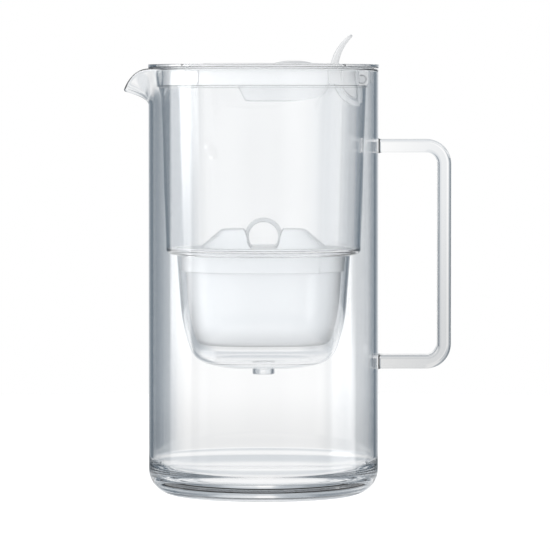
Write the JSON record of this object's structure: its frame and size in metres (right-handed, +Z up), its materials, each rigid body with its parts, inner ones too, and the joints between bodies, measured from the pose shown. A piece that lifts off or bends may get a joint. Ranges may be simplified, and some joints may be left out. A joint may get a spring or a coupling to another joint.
{
  "type": "water filter pitcher",
  "caption": "Tall glass pitcher with a pulled spout and square bow handle, a hanging funnel with a filter cartridge, and a lid with a thumb-lever fill flap and change indicator.",
  "frame": {"origin": "centre of the jug's base, on the plane that it stands on", "axes": "+Z up along the jug's axis, +X from the axis towards the handle, so the spout points to -X, +Y away from the viewer with the handle on the right"},
  "size_m": [0.1848, 0.1306, 0.2608],
  "materials": {
    "glass": "clear, polished",
    "clear_plastic": "clear, polished moulding",
    "white_plastic": "satin white moulding",
    "seal": "matt",
    "lens_plastic": "frosted, half clear",
    "button_plastic": "satin",
    "board": "solder resist",
    "dark_plastic": "matt",
    "led_plastic": "cast resin",
    "steel": "brushed",
    "spring_metal": "plated spring strip",
    "translucent_plastic": "translucent white moulding",
    "mesh": "woven mesh",
    "granules": "granule bed"
  },
  "bodies": {
    "jug": {"jug_glass": "glass", "handle": "glass"},
    "funnel": {"funnel": "clear_plastic"},
    "lid": {"lid_cover": "white_plastic", "hinge_pin": "white_plastic"},
    "flap": {"flap_panel": "white_plastic", "thumb_lever": "white_plastic", "pod_shell": "white_plastic", "pod_gasket": "seal", "indicator_lens": "lens_plastic", "light_guide": "lens_plastic", "circuit_board": "board", "tact_switch": "dark_plastic", "status_leds": "led_plastic", "coin_cell": "steel", "cell_clip": "spring_metal"},
    "button": {"reset_button": "button_plastic"},
    "cartridge": {"cartridge_bucket": "translucent_plastic", "cartridge_cap": "translucent_plastic", "inlet_screen": "mesh", "filter_media": "granules", "outlet_screen": "mesh"}
  },
  "joints": [
    {"name": "funnel_lift", "type": "slide", "parent": "jug", "child": "funnel", "axis": [0, 0, 1], "range_m": [0, 0.18]},
    {"name": "lid_lift", "type": "slide", "parent": "funnel", "child": "lid", "axis": [0, 0, 1], "range_m": [0, 0.05]},
    {"name": "flap_hinge", "type": "hinge", "parent": "lid", "child": "flap", "pos_m": [0.0552, 0, 0.235], "axis": [0, 1, 0], "range_deg": [0, 75]},
    {"name": "cartridge_lift", "type": "slide", "parent": "funnel", "child": "cartridge", "axis": [0, 0, 1], "range_m": [0, 0.06]},
    {"name": "button_press", "type": "slide", "parent": "flap", "child": "button", "axis": [0, 0, -1], "range_m": [0, 0.0008], "stiffness_N_per_m": 1000}
  ]
}
